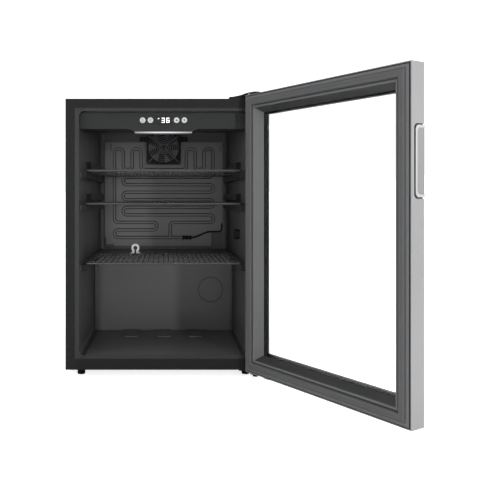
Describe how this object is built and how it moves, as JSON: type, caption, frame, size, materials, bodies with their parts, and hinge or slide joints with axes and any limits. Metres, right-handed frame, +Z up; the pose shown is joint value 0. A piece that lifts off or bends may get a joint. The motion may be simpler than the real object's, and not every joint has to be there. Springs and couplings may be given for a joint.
{
  "type": "glass-door beverage cooler",
  "caption": "Compact beverage cooler with an open glazed door, wire shelves, a top control panel and a fan-cooled cavity, on short feet.",
  "frame": {"origin": "on the floor, midway across the cabinet's width, in the plane of the cabinet's front flange", "axes": "+X towards the door's hinges, +Y from the front flange to the back of the cabinet, +Z up"},
  "size_m": [0.6657, 0.9131, 0.643],
  "materials": {
    "painted_steel": "satin black powder coat",
    "back_steel": "matt dark grey",
    "foam": "closed-cell foam",
    "liner_plastic": "satin vacuum-formed sheet",
    "kick_plastic": "satin",
    "housing_plastic": "fine texture",
    "circuit_board": "lacquered",
    "display_black": "polished",
    "digit_light": "lit",
    "button_white": "satin",
    "light_lens": "frosted",
    "led_board": "lacquered",
    "screw_steel": "zinc plated",
    "dark_screw": "blackened zinc",
    "black_plastic": "fine texture",
    "white_plastic": "moulded",
    "evaporator_metal": "satin grey lacquer",
    "black_rubber": "matt",
    "copper": "drawn copper",
    "fan_plastic": "satin",
    "guard_wire": "satin",
    "shelf_wire": "dark coated wire",
    "compressor_paint": "gloss black",
    "tray_plastic": "moulded",
    "condenser_paint": "satin black",
    "hinge_steel": "zinc plated",
    "black_steel": "satin black",
    "foot_plastic": "moulded",
    "silver_frame": "fine brushed satin",
    "door_plastic": "extruded, satin",
    "gasket_rubber": "soft matt",
    "clear_glass": "clear",
    "spacer_black": "matt",
    "handle_metal": "satin"
  },
  "bodies": {
    "cabinet": {"outer_cabinet": "painted_steel", "rear_panel": "back_steel", "base_pan": "back_steel", "machine_bay_panel": "back_steel", "insulation_foam": "foam", "inner_liner": "liner_plastic", "kick_strip": "kick_plastic", "control_housing": "housing_plastic", "control_board": "circuit_board", "display_window": "display_black", "display_digits": "digit_light", "light_strip": "light_lens", "light_board": "led_board", "housing_screw": "dark_screw", "sensor_housing": "black_plastic", "probe_clip": "white_plastic", "evaporator_plate": "evaporator_metal", "evaporator_clips": "black_plastic", "evaporator_joint": "black_rubber", "suction_tube": "black_plastic", "fan_frame": "black_plastic", "fan_guard": "guard_wire", "fan_screws": "dark_screw", "compressor": "compressor_paint", "compressor_grommets": "black_rubber", "terminal_cover": "black_plastic", "drip_tray": "tray_plastic", "filter_drier": "copper", "refrigerant_tubes": "copper", "condenser_coil": "condenser_paint", "condenser_wires": "condenser_paint", "condenser_brackets": "black_plastic", "cord_gland": "black_rubber", "upper_hinge_plate": "hinge_steel", "hinge_cover": "black_plastic", "lower_hinge_bracket": "black_steel", "hinge_screws": "screw_steel", "rear_feet": "foot_plastic"},
    "door": {"door_outer_frame": "silver_frame", "door_inner_frame": "door_plastic", "door_gasket": "gasket_rubber", "glass_outer": "clear_glass", "glass_inner": "clear_glass", "glass_spacer": "spacer_black", "door_handle": "handle_metal", "upper_door_bushing": "white_plastic", "lower_door_bushing": "white_plastic", "door_stop": "black_plastic"},
    "upper_shelf": {"shelf_upper": "shelf_wire"},
    "middle_shelf": {"shelf_middle": "shelf_wire"},
    "lower_shelf": {"shelf_lower": "shelf_wire"},
    "power_button": {"button_power": "button_white"},
    "light_button": {"button_light": "button_white"},
    "up_button": {"button_up": "button_white"},
    "down_button": {"button_down": "button_white"},
    "fan": {"fan_rotor": "fan_plastic"},
    "left_foot": {"foot_front_left": "foot_plastic"},
    "right_foot": {"foot_front_right": "foot_plastic"}
  },
  "joints": [
    {"name": "door_swing", "type": "hinge", "parent": "cabinet", "child": "door", "pos_m": [0.2059, -0.0222, 0], "axis": [0, 0, 1], "range_deg": [-121.5, 13.5]},
    {"name": "upper_shelf_slide", "type": "slide", "parent": "cabinet", "child": "upper_shelf", "axis": [0, -1, 0], "range_m": [0, 0.3]},
    {"name": "middle_shelf_slide", "type": "slide", "parent": "cabinet", "child": "middle_shelf", "axis": [0, -1, 0], "range_m": [0, 0.3]},
    {"name": "lower_shelf_slide", "type": "slide", "parent": "cabinet", "child": "lower_shelf", "axis": [0, -1, 0], "range_m": [0, 0.18]},
    {"name": "power_button_press", "type": "slide", "parent": "cabinet", "child": "power_button", "axis": [0, 1, 0], "range_m": [0, 0.001], "stiffness_N_per_m": 400},
    {"name": "light_button_press", "type": "slide", "parent": "cabinet", "child": "light_button", "axis": [0, 1, 0], "range_m": [0, 0.001], "stiffness_N_per_m": 400},
    {"name": "up_button_press", "type": "slide", "parent": "cabinet", "child": "up_button", "axis": [0, 1, 0], "range_m": [0, 0.001], "stiffness_N_per_m": 400},
    {"name": "down_button_press", "type": "slide", "parent": "cabinet", "child": "down_button", "axis": [0, 1, 0], "range_m": [0, 0.001], "stiffness_N_per_m": 400},
    {"name": "fan_spin", "type": "hinge", "parent": "cabinet", "child": "fan", "pos_m": [0, 0.436, 0.555], "axis": [0, -1, 0], "continuous": true},
    {"name": "left_foot_level", "type": "slide", "parent": "cabinet", "child": "left_foot", "axis": [0, 0, 1], "range_m": [-0.008, 0]},
    {"name": "right_foot_level", "type": "slide", "parent": "cabinet", "child": "right_foot", "axis": [0, 0, 1], "range_m": [-0.008, 0]}
  ]
}
